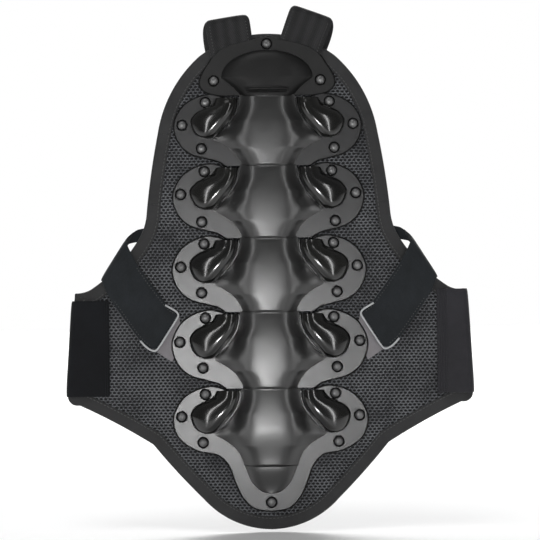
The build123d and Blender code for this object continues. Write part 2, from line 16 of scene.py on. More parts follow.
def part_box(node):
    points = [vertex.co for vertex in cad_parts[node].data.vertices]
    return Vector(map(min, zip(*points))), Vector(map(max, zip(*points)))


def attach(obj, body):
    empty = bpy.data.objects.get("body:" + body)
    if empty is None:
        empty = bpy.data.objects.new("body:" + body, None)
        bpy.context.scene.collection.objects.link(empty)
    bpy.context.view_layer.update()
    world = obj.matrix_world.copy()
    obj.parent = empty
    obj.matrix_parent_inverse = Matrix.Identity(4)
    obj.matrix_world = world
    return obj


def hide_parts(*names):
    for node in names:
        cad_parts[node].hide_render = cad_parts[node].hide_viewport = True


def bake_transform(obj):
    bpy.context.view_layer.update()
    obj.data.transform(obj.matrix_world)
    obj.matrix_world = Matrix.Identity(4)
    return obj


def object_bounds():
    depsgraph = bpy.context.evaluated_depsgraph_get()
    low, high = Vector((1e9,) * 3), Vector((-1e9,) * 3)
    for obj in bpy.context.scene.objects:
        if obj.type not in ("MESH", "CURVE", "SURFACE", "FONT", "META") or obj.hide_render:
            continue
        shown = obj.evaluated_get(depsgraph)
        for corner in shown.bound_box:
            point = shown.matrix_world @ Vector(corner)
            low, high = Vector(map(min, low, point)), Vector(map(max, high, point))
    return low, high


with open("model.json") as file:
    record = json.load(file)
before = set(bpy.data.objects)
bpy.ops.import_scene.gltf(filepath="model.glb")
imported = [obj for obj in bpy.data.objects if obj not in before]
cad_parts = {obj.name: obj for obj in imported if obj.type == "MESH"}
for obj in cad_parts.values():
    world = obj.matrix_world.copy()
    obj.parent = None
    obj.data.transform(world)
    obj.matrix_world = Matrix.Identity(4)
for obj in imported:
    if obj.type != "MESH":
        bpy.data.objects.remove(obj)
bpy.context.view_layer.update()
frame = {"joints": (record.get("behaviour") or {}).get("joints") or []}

MM = 0.001
BODIES = ["cap", "segment_1", "segment_2", "segment_3", "segment_4", "tail"]
SEGMENTS = ["cap", "1", "2", "3", "4", "tail"]
HINGES = [j["pos_m"][2] / MM for j in frame["joints"] if j["name"].startswith("flex_")]
PLATE_DEPTH = -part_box("plate_cap")[1].y / MM
FLANGE = 3.0
FLANGE_FRONT = PLATE_DEPTH + FLANGE

# ------------------------------------------------------------------ outlines, as in the CAD

DOME = [
    [(0, 274), (40.5, 267.6), (75, 249.5)], [(75, 249.5), (107, 208.5), (121.6, 164.5)],
    [(121.6, 164.5), (130.6, 112), (134.8, 76.5)], [(134.8, 76.5), (137.6, 62), (143, 49.8)],
    [(143, 49.8), (165, 20.5), (198, -7.2)], [(198, -7.2), (206, -10), (215, -10.8)],
    [(215, -10.8), (219.25, -65.9), (223.5, -121)],
    [(223.5, -121), (221.5, -131.5), (211, -134.9)], [(211, -134.9), (170, -155.5), (130, -179)],
    [(130, -179), (103.5, -210), (74.8, -240)], [(74.8, -240), (42, -264.5), (0, -274)],
]
FLANGE_EDGE = [
    (48, -1.0), (57, 2.4), (67.4, 3.4), (84, -1.5), (98, -12.5), (106.3, -32),
    (101, -52), (88, -65), (69, -71), (56.6, -74.3), (47.3, -80.5),
]
SADDLE_EDGE = [(31.9, -1.0), (33, -11), (38, -22.6), (48.9, -36.4), (62, -49)]
SADDLE_HIP = [(62, -49), (48.9, -55.7), (38.1, -64.2), (31.9, -73.5), (29, -80.5)]
LOBE_OUTER = [(59, -1.0), (63.5, -7.9), (72, -11.8), (83, -18), (88.2, -28), (83, -42.5), (72, -48.6)]
LOBE_INNER = [(33.4, -1.0), (34, -10), (38.2, -21.4), (48.2, -34.6), (60, -46.8), (72, -48.6)]
TAIL_FLANGE = [
    (48, -1.0), (57, 2.4), (67.4, 3.4), (84, -1.5), (98, -12.5), (106.3, -32),
    (100, -53), (80, -66.6), (58, -71.5), (46, -83.5), (38.3, -103.7), (30.6, -119.2),
    (18.5, -130.8), (0, -134.2),
]
TAIL_HIP = [(62, -49), (48, -57.2), (35.8, -68.2), (28.6, -85.2)]
TAIL_TONGUE = [(28.6, -85.2), (21.3, -102.2), (10.8, -112.2), (0, -115)]
CAP_FLANGE = [(48, 205), (62, 207.3), (71.5, 213), (74, 222), (66.5, 237), (48, 257.5), (0, 270.5)]
CAP_DOME = [(28, 204.2), (38, 215), (50.5, 225)]
PLATE_SCALE = {"1": (0.968, 0.939), "2": (0.987, 0.978), "3": (1.002, 0.998), "4": (1.01, 1.032)}
TAIL_SCALE = (1.005, 1.0)
RIVETS = {
    "cap": [(0, 262), (58.8, 221.7)],
    "1": [(68.3, 198), (94.2, 173.2), (73.2, 147.2)],
    "2": [(70.2, 121.8), (96.5, 96.9), (73.6, 66.4)],
    "3": [(71.3, 42.2), (97.2, 16.9), (74.6, -11.6)],
    "4": [(70.8, -39.5), (99.1, -65.8), (74, -94.4)],
    "tail": [(71.6, -123.6), (97.9, -148), (74.7, -176.6), (0, -243.2)],
}

# ------------------------------------------------------------------ small geometry helpers


def arc(start, middle, end, count):
    """Points along the circle through three points, without the last one."""
    (ax, ay), (bx, by), (cx, cy) = start, middle, end
    d = 2 * (ax * (by - cy) + bx * (cy - ay) + cx * (ay - by))
    if abs(d) < 1e-6:
        t = np.arange(count)[:, None] / count
        return np.array(start) * (1 - t) + np.array(end) * t
    a2, b2, c2 = ax * ax + ay * ay, bx * bx + by * by, cx * cx + cy * cy
    ux = (a2 * (by - cy) + b2 * (cy - ay) + c2 * (ay - by)) / d
    uy = (a2 * (cx - bx) + b2 * (ax - cx) + c2 * (bx - ax)) / d
    first = math.atan2(ay - uy, ax - ux)
    sweep = (math.atan2(cy - uy, cx - ux) - first) % (2 * math.pi)
    if (math.atan2(by - uy, bx - ux) - first) % (2 * math.pi) > sweep:
        sweep -= 2 * math.pi
    angle = first + sweep * np.arange(count) / count
    radius = math.hypot(ax - ux, ay - uy)
    return np.stack([ux + radius * np.cos(angle), uy + radius * np.sin(angle)], 1)


def smooth(points, count):
    """Evenly spaced points along a Catmull-Rom curve through the given ones."""
    p = np.array(points, float)
    p = np.vstack([2 * p[0] - p[1], p, 2 * p[-1] - p[-2]])
    dense = []
    for i in range(1, len(p) - 2):
        t = np.linspace(0, 1, 24, endpoint=False)[:, None]
        a, b, c, d = p[i - 1], p[i], p[i + 1], p[i + 2]
        dense.append(0.5 * (2 * b + (c - a) * t + (2 * a - 5 * b + 4 * c - d) * t**2
                            + (3 * b - a - 3 * c + d) * t**3))
    dense = np.vstack(dense + [p[-2:-1]])
    return resample(dense, count)


def resample(line, count):
    """A polyline's points again, evenly spaced."""
    step = np.linalg.norm(np.diff(line, axis=0), axis=1)
    along = np.concatenate([[0], np.cumsum(step)])
    wanted = np.linspace(0, along[-1], count)
    return np.stack([np.interp(wanted, along, line[:, k]) for k in range(line.shape[1])], 1)


def on_plate(points, line, scale):
    """Typical plate outline, scaled and hung from a bending line."""
    return [(x * scale[0], line + z * scale[1]) for x, z in points]


def smoothstep(low, high, value):
    t = np.clip((value - low) / (high - low), 0, 1)
    return t * t * (3 - 2 * t)


def build(name, verts, faces, materials, uvs=None, face_materials=None):
    """A shaded mesh object from millimetre points."""
    data = bpy.data.meshes.new(name)
    data.from_pydata([tuple(v) for v in np.array(verts, float) * MM], [], [tuple(f) for f in faces])
    data.validate()
    for m in materials:
        data.materials.append(m)
    if uvs is not None:
        layer = data.uv_layers.new(name="UVMap")
        flat = np.array(uvs, float)[[loop.vertex_index for loop in data.loops]]
        layer.data.foreach_set("uv", flat.astype(np.float32).ravel())
    if face_materials is not None:
        data.polygons.foreach_set("material_index", face_materials)
    data.polygons.foreach_set("use_smooth", [True] * len(data.polygons))
    obj = bpy.data.objects.new(name, data)
    bpy.context.scene.collection.objects.link(obj)
    return obj


def grid_faces(rows, columns, start=0, close=False):
    """Quads of a grid of points; close joins the last column to the first."""
    faces = []
    last = columns if close else columns - 1
    for r in range(rows - 1):
        for c in range(last):
            n = (c + 1) % columns
            faces.append((start + r * columns + c, start + r * columns + n,
                          start + (r + 1) * columns + n, start + (r + 1) * columns + c))
    return faces


def join(name, pieces):
    """One object out of several, keeping their materials."""
    bpy.ops.object.select_all(action="DESELECT")
    for p in pieces:
        p.select_set(True)
    bpy.context.view_layer.objects.active = pieces[0]
    bpy.ops.object.join()
    pieces[0].name = name
    pieces[0].data.name = name
    return pieces[0]


def recalc(obj):
    """Point all faces outward."""
    mesh = bmesh.new()
    mesh.from_mesh(obj.data)
    bmesh.ops.recalc_face_normals(mesh, faces=mesh.faces)
    mesh.to_mesh(obj.data)
    mesh.free()
    return obj


def tube(name, line, radius, mat, sides=8):
    """A round bead along a line of 3-D points."""
    line = np.array(line, float)
    tangent = np.gradient(line, axis=0)
    tangent /= np.linalg.norm(tangent, axis=1)[:, None]
    out = np.array([0, -1.0, 0])
    side = np.cross(tangent, out)
    side /= np.linalg.norm(side, axis=1)[:, None]
    up = np.cross(side, tangent)
    angle = np.arange(sides) * 2 * math.pi / sides
    rings = line[:, None] + radius * (np.cos(angle)[None, :, None] * side[:, None]
                                      + np.sin(angle)[None, :, None] * up[:, None])
    verts = list(rings.reshape(-1, 3))
    faces = grid_faces(len(line), sides, close=True)
    faces += [tuple(range(sides))[::-1], tuple(range((len(line) - 1) * sides, len(line) * sides))]
    return recalc(build(name, verts, faces, [mat], np.zeros((len(verts), 2))))


# ------------------------------------------------------------------ materials


def link_value(tree, socket, value):
    """Feed a socket from a number or another node's output."""
    if isinstance(value, bpy.types.NodeSocket):
        tree.links.new(value, socket)
    else:
        socket.default_value = value


def calc(tree, operation, *values):
    node = tree.nodes.new("ShaderNodeMath")
    node.operation = operation
    for socket, value in zip(node.inputs, values):
        link_value(tree, socket, value)
    return node.outputs[0]


def ramp(tree, factor, stops):
    """Colour ramp with (position, grey or colour) stops."""
    node = tree.nodes.new("ShaderNodeValToRGB")
    elements = node.color_ramp.elements
    while len(elements) < len(stops):
        elements.new(0.5)
    for element, (position, colour) in zip(elements, stops):
        element.position = position
        element.color = (*colour, 1) if isinstance(colour, tuple) else (colour, colour, colour, 1)
    link_value(tree, node.inputs[0], factor)
    return node.outputs[0]


def noise(tree, scale, detail, rough=0.55, *, coords):
    node = tree.nodes.new("ShaderNodeTexNoise")
    node.inputs["Scale"].default_value = scale
    node.inputs["Detail"].default_value = detail
    node.inputs["Roughness"].default_value = rough
    tree.links.new(coords, node.inputs["Vector"])
    return node.outputs["Fac"]


def bump(tree, height, strength, distance, below=None):
    node = tree.nodes.new("ShaderNodeBump")
    node.inputs["Strength"].default_value = strength
    node.inputs["Distance"].default_value = distance
    link_value(tree, node.inputs["Height"], height)
    if below is not None:
        tree.links.new(below, node.inputs["Normal"])
    return node.outputs[0]


def start_material(name, specular, sheen=0.0, coat=0.0, coat_rough=0.1):
    """A material with its principled shader and the object and UV coordinates."""
    mat = bpy.data.materials.new(name)
    mat.use_nodes = True
    tree = mat.node_tree
    shader = tree.nodes["Principled BSDF"]
    shader.inputs["Specular IOR Level"].default_value = specular
    shader.inputs["Sheen Weight"].default_value = sheen
    shader.inputs["Sheen Roughness"].default_value = 0.5
    shader.inputs["Coat Weight"].default_value = coat
    shader.inputs["Coat Roughness"].default_value = coat_rough
    coords = tree.nodes.new("ShaderNodeTexCoord")
    return mat, tree, shader, coords


def moulded(name, colours, roughness, grain, specular, coat=0.0, coat_rough=0.1, soft=0.15):
    """Moulded plastic: slight colour drift, fine grain, scuffs in the roughness."""
    mat, tree, shader, coords = start_material(name, specular, coat=coat, coat_rough=coat_rough)
    drift = noise(tree, 14, 4, coords=coords.outputs["Object"])
    colour = ramp(tree, drift, [(0.3, colours[0]), (0.7, colours[1])])
    tree.links.new(colour, shader.inputs["Base Color"])
    scuff = noise(tree, 60, 6, 0.65, coords=coords.outputs["Object"])
    gloss = ramp(tree, scuff, [(0.3, roughness[0]), (0.75, roughness[1])])
    tree.links.new(gloss, shader.inputs["Roughness"])
    fine = noise(tree, 1800, 2, coords=coords.outputs["Object"])
    waves = noise(tree, 26, 2, coords=coords.outputs["Object"])
    first = bump(tree, waves, soft, 0.0008)
    tree.links.new(bump(tree, fine, grain, 0.00012, first), shader.inputs["Normal"])
    return mat


def staggered(tree, coords, pitch, row, oval):
    """Distance from the middle of the nearest oval hole, 1 at its rim."""
    split = tree.nodes.new("ShaderNodeSeparateXYZ")
    tree.links.new(coords, split.inputs[0])
    line = calc(tree, "DIVIDE", split.outputs[1], row)
    odd = calc(tree, "MULTIPLY", calc(tree, "MODULO", calc(tree, "FLOOR", line), 2.0), 0.5)
    across = calc(tree, "ADD", calc(tree, "DIVIDE", split.outputs[0], pitch), odd)
    dx = calc(tree, "DIVIDE", calc(tree, "SUBTRACT", calc(tree, "FRACT", across), 0.5), oval[0])
    dy = calc(tree, "DIVIDE", calc(tree, "SUBTRACT", calc(tree, "FRACT", line), 0.5), oval[1])
    squares = [calc(tree, "POWER", calc(tree, "ABSOLUTE", d), 2.0) for d in (dx, dy)]
    return calc(tree, "SQRT", calc(tree, "ADD", *squares))


def air_mesh(name, pitch, row, bright):
    """Open spacer mesh: grey threads round staggered dark holes."""
    mat, tree, shader, coords = start_material(name, 0.25, sheen=0.06)
    uv = coords.outputs["UV"]
    wobble = tree.nodes.new("ShaderNodeVectorMath")
    wobble.operation = "MULTIPLY_ADD"
    swirl = tree.nodes.new("ShaderNodeTexNoise")
    swirl.inputs["Scale"].default_value = 90
    tree.links.new(uv, swirl.inputs["Vector"])
    tree.links.new(swirl.outputs["Color"], wobble.inputs[0])
    wobble.inputs[1].default_value = (0.0012, 0.0012, 0)
    tree.links.new(uv, wobble.inputs[2])
    rim = staggered(tree, wobble.outputs[0], pitch, row, (0.45, 0.44))
    thread = noise(tree, 900, 3, coords=uv)
    body = ramp(tree, rim, [(0.55, 0.0), (1.0, 1.0)])
    patchy = ramp(tree, noise(tree, 22, 3, coords=uv), [(0.3, 0.65), (0.75, 1.15)])
    fibres = ramp(tree, thread, [(0.3, 0.35), (0.75, 1.6)])
    lit = calc(tree, "MULTIPLY", calc(tree, "MULTIPLY", body, fibres), patchy)
    shades = ((0.55, (0.026, 0.027, 0.03)), (1.0, (0.15, 0.155, 0.165)))
    stops = [(place, tuple(value * bright for value in shade)) for place, shade in shades]
    colour = ramp(tree, lit, [(0.0, (0.002, 0.002, 0.0025))] + stops)
    tree.links.new(colour, shader.inputs["Base Color"])
    shader.inputs["Roughness"].default_value = 0.72
    fuzz = bump(tree, thread, 0.4, 0.0002)
    tree.links.new(bump(tree, body, 0.9, 0.0009, fuzz), shader.inputs["Normal"])
    return mat


def woven(name, colours, pitch, strength, rough, sheen, ribs=0.0):
    """Woven tape: a fine basket of crossing threads, optional ribs along it, faint fuzz."""
    mat, tree, shader, coords = start_material(name, 0.3, sheen=sheen)
    uv = coords.outputs["UV"]
    split = tree.nodes.new("ShaderNodeSeparateXYZ")
    tree.links.new(uv, split.inputs[0])
    turn = 2 * math.pi / pitch
    warp = calc(tree, "SINE", calc(tree, "MULTIPLY", split.outputs[0], turn))
    weft = calc(tree, "SINE", calc(tree, "MULTIPLY", split.outputs[1], turn * 0.8))
    basket = calc(tree, "MULTIPLY_ADD", calc(tree, "MULTIPLY", warp, weft), 0.5, 0.5)
    if ribs:
        rib = calc(tree, "SINE", calc(tree, "MULTIPLY", split.outputs[0], 2 * math.pi / ribs))
        basket = calc(tree, "ADD", basket, calc(tree, "MULTIPLY", rib, 0.3))
    coarse = noise(tree, 110, 5, 0.75, coords=uv)
    fine = calc(tree, "MULTIPLY", noise(tree, 500, 4, 0.7, coords=uv), 0.5)
    fuzz = calc(tree, "MULTIPLY_ADD", coarse, 0.6, fine)
    mixed = calc(tree, "MULTIPLY_ADD", basket, 0.5, calc(tree, "MULTIPLY", fuzz, 0.6))
    weave = calc(tree, "MULTIPLY", mixed, 0.7)
    drift = calc(tree, "MULTIPLY_ADD", noise(tree, 18, 3, coords=uv), 0.5, weave)
    colour = ramp(tree, drift, [(0.42, colours[0]), (0.86, colours[1])])
    tree.links.new(colour, shader.inputs["Base Color"])
    shader.inputs["Roughness"].default_value = rough
    tree.links.new(bump(tree, mixed, strength, 0.0005), shader.inputs["Normal"])
    return mat


FLANGE_PLASTIC = moulded("flange_plastic", [(0.012, 0.012, 0.0125), (0.016, 0.016, 0.017)],
                         (0.23, 0.265), 0.3, 0.38, soft=0.06)
CAP_PLASTIC = moulded("cap_plastic", [(0.007, 0.007, 0.007), (0.012, 0.012, 0.012)],
                      (0.4, 0.5), 0.5, 0.22)
SADDLE_PLASTIC = moulded("saddle_plastic", [(0.008, 0.008, 0.008), (0.012, 0.012, 0.012)],
                         (0.29, 0.34), 0.3, 0.95, soft=0.1)
LOBE_PLASTIC = moulded("lobe_plastic", [(0.004, 0.004, 0.004), (0.008, 0.008, 0.007)],
                       (0.15, 0.19), 0.05, 0.6,
                       coat=0.5, coat_rough=0.1)
RIVET_PLASTIC = moulded("rivet_plastic", [(0.06, 0.06, 0.061), (0.09, 0.09, 0.09)],
                        (0.28, 0.36), 0.2, 1.0)
# Near-black plastic for painted shade: it fills the rivet recess floors and the thin line round each
# flange, darker than the plates' own plastic.
PAINTED_SHADE_PLASTIC = moulded("painted_shade_plastic", [(0.003, 0.003, 0.003), (0.006, 0.006, 0.006)],
                         (0.6, 0.8), 0.1, 0.2)
AIR_MESH = air_mesh("air_mesh", 0.0049, 0.0033, 1.0)
LINING = air_mesh("lining", 0.0042, 0.0029, 0.45)
BINDING = woven("binding", [(0.012, 0.012, 0.0125), (0.034, 0.034, 0.035)], 0.0016, 0.5, 0.7, 0.12)
THREAD = woven("thread", [(0.03, 0.03, 0.03), (0.08, 0.08, 0.08)], 0.0008, 0.5, 0.6, 0.2)
WEBBING = woven("webbing", [(0.003, 0.003, 0.0035), (0.023, 0.023, 0.024)],
                0.0024, 0.7, 0.75, 0.08, ribs=0.0125)
STRAP = woven("strap_elastic", [(0.0015, 0.0022, 0.0028), (0.019, 0.023, 0.027)],
              0.0014, 0.8, 0.85, 0.1)
BELT_HOOK = woven("belt_hook", [(0.0004, 0.0005, 0.0008), (0.006, 0.007, 0.0095)],
                  0.0018, 0.8, 0.9, 0.05)
BELT_BAND = woven("belt_band", [(0.004, 0.0038, 0.005), (0.022, 0.021, 0.027)],
                  0.0013, 0.6, 0.65, 0.1)
TRIM = moulded("trim", [(0.38, 0.39, 0.4), (0.5, 0.51, 0.52)], (0.35, 0.5), 0.1, 0.5)
PATCH = woven("patch", [(0.14, 0.13, 0.14), (0.25, 0.24, 0.25)], 0.0012, 0.4, 0.6, 0.5)

# ------------------------------------------------------------------ camera, floor and light

FRAME_HEIGHT = 0.594  # metres seen from top to bottom at the plates
CAMERA_DISTANCE = 2.6
AIM = Vector((0.001, -0.02, 0.0127))
ROLL = math.radians(-0.65)

camera = bpy.data.objects.new("camera", bpy.data.cameras.new("camera"))
bpy.context.scene.collection.objects.link(camera)
camera.data.sensor_width = 36
camera.data.lens = 36 * CAMERA_DISTANCE / FRAME_HEIGHT
camera.location = AIM + Vector((0, -CAMERA_DISTANCE, 0))
level_view = Matrix.Rotation(math.radians(90), 3, "X")
camera.rotation_euler = (level_view @ Matrix.Rotation(ROLL, 3, "Z")).to_euler()
bpy.context.scene.camera = camera


def area_light(name, place, target, size, power, size_y=None):
    data = bpy.data.lights.new(name, "AREA")
    data.shape = "RECTANGLE"
    data.size = size
    data.size_y = size_y or size
    data.energy = power
    lamp = bpy.data.objects.new(name, data)
    bpy.context.scene.collection.objects.link(lamp)
    lamp.location = place
    lamp.rotation_euler = (Vector(target) - Vector(place)).to_track_quat("-Z", "Y").to_euler()
    return lamp


area_light("low_front", (-0.17, -2.9, -0.38), (0, 0, -0.05), 0.42, 84, 0.42)
area_light("left_strip", (-1.45, -2.3, 0.55), (0, 0, 0.05), 0.16, 11, 2.2)
area_light("right_strip", (1.45, -2.3, 0.55), (0, 0, 0.05), 0.16, 11, 2.2)
area_light("top_soft", (-0.4, -1.2, 2.2), (0, 0, 0.1), 1.2, 14)
area_light("back_soft", (0.6, 2.4, 1.3), (0, 0, 0), 1.4, 26)
area_light("floor_wash", (0, 6.5, 4.5), (0, 5, -0.3), 6.0, 560)

world = bpy.data.worlds.new("studio")
bpy.context.scene.world = world
world.use_nodes = True
sky = world.node_tree
direction = sky.nodes.new("ShaderNodeTexCoord")
axes = sky.nodes.new("ShaderNodeSeparateXYZ")
sky.links.new(direction.outputs["Generated"], axes.inputs[0])
sweep = calc(sky, "MULTIPLY_ADD", axes.outputs[1], 0.5, 0.5)
sky_grey = ramp(sky, sweep, [(0.3, 0.10), (0.8, 0.22), (0.965, 1.0)])
sky.links.new(sky_grey, sky.nodes["Background"].inputs["Color"])
sky.nodes["Background"].inputs["Strength"].default_value = 1.0
bpy.context.scene.view_settings.view_transform = "Standard"

floor_material = bpy.data.materials.new("floor")
floor_material.use_nodes = True
floor_shader = floor_material.node_tree.nodes["Principled BSDF"]
floor_shader.inputs["Base Color"].default_value = (0.93, 0.93, 0.93, 1)
floor_shader.inputs["Roughness"].default_value = 0.9
FLOOR_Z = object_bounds()[0].z / MM - 3
FLOOR_HALF = 9000.0
corners = [(x * FLOOR_HALF, y * FLOOR_HALF, FLOOR_Z) for x, y in ((-1, -1), (1, -1), (1, 1), (-1, 1))]
floor = build("floor", corners, [(0, 1, 2, 3)], [floor_material])

# ------------------------------------------------------------------ hard plates

# Share of the way across a lobe from its inner side, share of its height.
LOBE_SECTION = [(0, 0), (0.04, 0.4), (0.14, 0.78), (0.28, 0.96), (0.4, 1.0), (0.55, 0.94),
                (0.72, 0.78), (0.87, 0.54), (0.96, 0.28), (1, 0)]
LOBE_ROWS = 46
LOBE_COLUMNS = 29
LOBE_CREST = 10.5  # distance of a lobe's crest from its inner edge
SKIN_COLUMNS = 91
HEAD_SINK = 0.8  # how far below the flange's face lobes and rivet heads start
EDGE_ROUND = 0.5
RECESS = 6.1


def mirrored_loop(half):
    """Closed outline from its right half, drawn from the middle out and back to the middle."""
    half = np.array(half)
    left = half[::-1] * [-1, 1]
    return np.vstack([half, left])


def flange_sheet(name, loop, holes, material):
    """Flat moulded rim with rounded edges and a hole at each rivet's recess."""
    curve = bpy.data.curves.new(name, "CURVE")
    curve.dimensions = "2D"
    curve.fill_mode = "BOTH"
    curve.extrude = (FLANGE / 2 - EDGE_ROUND) * MM
    curve.bevel_depth = EDGE_ROUND * MM
    curve.bevel_resolution = 3
    curve.offset = -EDGE_ROUND * MM
    angle = np.arange(36) * 2 * math.pi / 36
    rings = [np.stack([x + RECESS * np.cos(angle), z + RECESS * np.sin(angle)], 1)
             for x, z in holes]
    for points in [loop] + rings:
        spline = curve.splines.new("POLY")
        spline.points.add(len(points) - 1)
        for point, (x, z) in zip(spline.points, points):
            point.co = (x * MM, z * MM, 0, 1)
        spline.use_cyclic_u = True
    rough = bpy.data.objects.new(name + "_curve", curve)
    bpy.context.scene.collection.objects.link(rough)
    bpy.context.view_layer.update()
    filled = rough.evaluated_get(bpy.context.evaluated_depsgraph_get())
    mesh = bpy.data.meshes.new_from_object(filled)
    bpy.data.objects.remove(rough)
    turn = Matrix.Rotation(math.radians(90), 4, "X")
    mesh.transform(Matrix.Translation((0, -(PLATE_DEPTH + FLANGE / 2) * MM, 0)) @ turn)
    mesh.materials.clear()
    mesh.materials.append(material)
    obj = bpy.data.objects.new(name, mesh)
    bpy.context.scene.collection.objects.link(obj)
    return obj


def shadow_line_bead(name, half, sign):
    """Near-black bead round the flange: a painted shadow line standing for the shade in the gap
    between flange and panel.
    """
    path = [(sign * x, -(PLATE_DEPTH + 0.5), z) for x, z in half]
    return tube(name, path, 1.25, PAINTED_SHADE_PLASTIC)


def width_at(edges, heights):
    """Half width of an outline at given heights."""
    line = np.vstack([smooth(points, 60) for points in edges])
    order = np.argsort(line[:, 1])
    return np.interp(heights, line[order, 1], line[order, 0])


def raised_skin(name, heights, widths, field, material, skirt):
    """Skin over a raised part: rows down the spine, columns across, and a skirt at its end."""
    u = np.sin(np.linspace(-1, 1, SKIN_COLUMNS) * math.pi / 2)
    rows = []
    for z, w in zip(heights, widths):
        x = u * w
        rows.append(np.stack([x, -(FLANGE_FRONT + field(x, z, w)), np.full(SKIN_COLUMNS, z)], 1))
    low = rows[-1].copy()
    low[:, 1] = np.minimum(low[:, 1] + skirt, -(FLANGE_FRONT - 1.0))
    low[:, 2] += 0.3
    inward = low.copy()
    inward[:, 2] += 6
    rows += [low, inward]
    verts = np.vstack(rows)
    return recalc(build(name, verts, grid_faces(len(rows), SKIN_COLUMNS), [material],
                        verts[:, [0, 2]] * MM))


def saddle_field(line, scale, length):
    """Height of a middle plate's saddle over its flange."""

    def field(x, z, w):
        v = (line - z) / scale[1]
        t = min(max(v / length, 0), 1)
        rise = 10.8 + 4.7 * (1 - (1 - t) ** 3)
        rise -= 1.3 * smoothstep(length - 3.2, length, v) ** 2
        shoulder = min(0.8 * w, 31 + 0.05 * v)
        core = 1 / (1 + np.exp((np.abs(x) - shoulder) / 4.0))
        crown = 1 - 0.07 * (x / 33) ** 2
        ridge = 8.2 * np.exp(-(((v - 49) / (6 + 0.26 * np.maximum(62 - np.abs(x), 0))) ** 2))
        ridge = ridge * (1 - smoothstep(28, 62, np.abs(x)) * 0.75)
        low = 0.8 + ridge * smoothstep(14, 36, np.abs(x))
        return np.maximum(rise * core * crown + low * (1 - core), 0.4)

    return field


def lobe(name, line, scale, sign):
    """One glossy kidney-shaped lobe."""
    outer = smooth(on_plate(LOBE_OUTER, line, scale), LOBE_ROWS)
    inner = smooth(on_plate(LOBE_INNER, line, scale), LOBE_ROWS)
    section_line = smooth(LOBE_SECTION, LOBE_COLUMNS)
    verts = []
    for k in range(LOBE_ROWS):
        t = k / (LOBE_ROWS - 1)
        tip = 1 - max(0, (t - 0.72) / 0.28) ** 2.4
        height = (13.2 + 3.2 * math.sin(math.pi * min(t / 0.9, 1))) * tip
        height *= 0.93 + 0.07 * smoothstep(0, 0.12, t)
        crest = min(max(LOBE_CREST / np.linalg.norm(outer[k] - inner[k]), 0.25), 0.55)
        share = np.interp(section_line[:, 0], [0, 0.4, 1], [0, crest, 1])
        section = inner[k] + (outer[k] - inner[k]) * share[:, None]
        for (x, z), h in zip(section, section_line[:, 1]):
            verts.append((sign * x, -(FLANGE_FRONT - HEAD_SINK + height * h), z))
    return recalc(build(name, verts, grid_faces(LOBE_ROWS, LOBE_COLUMNS), [LOBE_PLASTIC],
                        np.array(verts)[:, [0, 2]] * MM))


def lobe_rim(name, line, scale, sign):
    """The thin raised line between a lobe and the saddle."""
    inner = smooth(on_plate([(x - 1.3, z - 0.6) for x, z in LOBE_INNER[:-1]], line, scale), 40)
    depth = FLANGE_FRONT + 2.6 - 1.4 * np.linspace(0, 1, 40)
    path = [(sign * x, -d, z) for (x, z), d in zip(inner, depth)]
    return tube(name, path, 0.55, FLANGE_PLASTIC)


def rivet_heads(name, places):
    """Domed heads, each in its round recess."""
    profile = [(0.0, 3.15), (1.6, 3.05), (2.9, 2.72), (3.8, 2.15), (4.45, 1.2), (4.75, 0.3),
               (4.85, -0.9)]
    # The recess floor under each head is near-black: painted shade in the hollow round the rivet.
    cup = [(6.5, 0.3), (6.2, 0.1), (6.1, -0.6), (5.95, -1.3), (5.0, -1.5), (0.0, -1.5)]
    turns = 28
    verts, faces, slots = [], [], []
    for x, z in places:
        for rings, slot in ((profile, 0), (cup, 1)):
            start = len(verts)
            for r, h in rings:
                for k in range(turns):
                    a = 2 * math.pi * k / turns
                    verts.append((x + max(r, 0.01) * math.cos(a), -(FLANGE_FRONT - HEAD_SINK + h),
                                  z + max(r, 0.01) * math.sin(a)))
            if slot == 1:
                for k in range(start, start + turns):
                    verts[k] = (verts[k][0], -(FLANGE_FRONT - 0.3), verts[k][2])
            new = grid_faces(len(rings), turns, start, close=True)
            faces += new
            slots += [slot] * len(new)
    return recalc(build(name, verts, faces, [RIVET_PLASTIC, PAINTED_SHADE_PLASTIC],
                        np.array(verts)[:, [0, 2]] * MM, slots))


def all_rivets(segment):
    return [(s * x, z) for x, z in RIVETS[segment] for s in ((1, -1) if x else (1,))]


def finish_plate(segment, body, parts):
    plate = join(f"plate_shell_{segment}", parts)
    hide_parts(f"plate_{segment}")
    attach(plate, body)
    heads = rivet_heads(f"rivet_heads_{segment}", all_rivets(segment))
    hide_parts(f"rivets_{segment}", f"washers_{segment}")
    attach(heads, body)


def middle_plate(segment, line, body):
    scale = PLATE_SCALE[segment]
    half = smooth(on_plate(FLANGE_EDGE, line, scale), 90)
    loop = mirrored_loop(half)
    bottom = line - 80.5 * scale[1]
    edges = [on_plate(SADDLE_EDGE, line, scale), on_plate(SADDLE_HIP, line, scale)]
    heights = np.concatenate([[line + 6.5], np.linspace(line + 1, bottom + 3, 62),
                              np.linspace(bottom + 2.4, bottom, 5)])
    widths = width_at(edges, heights)
    widths[0] = 26
    parts = [flange_sheet(f"flange_{segment}", loop, all_rivets(segment), FLANGE_PLASTIC)]
    parts += [shadow_line_bead(f"skirt_{segment}_{sign}", half, sign) for sign in (1, -1)]
    parts.append(raised_skin(f"saddle_{segment}", heights, widths, saddle_field(line, scale, 80.5),
                             SADDLE_PLASTIC, 2.6))
    for sign in (1, -1):
        parts.append(lobe(f"lobe_{segment}_{sign}", line, scale, sign))
        parts.append(lobe_rim(f"rim_{segment}_{sign}", line, scale, sign))
    finish_plate(segment, body, parts)


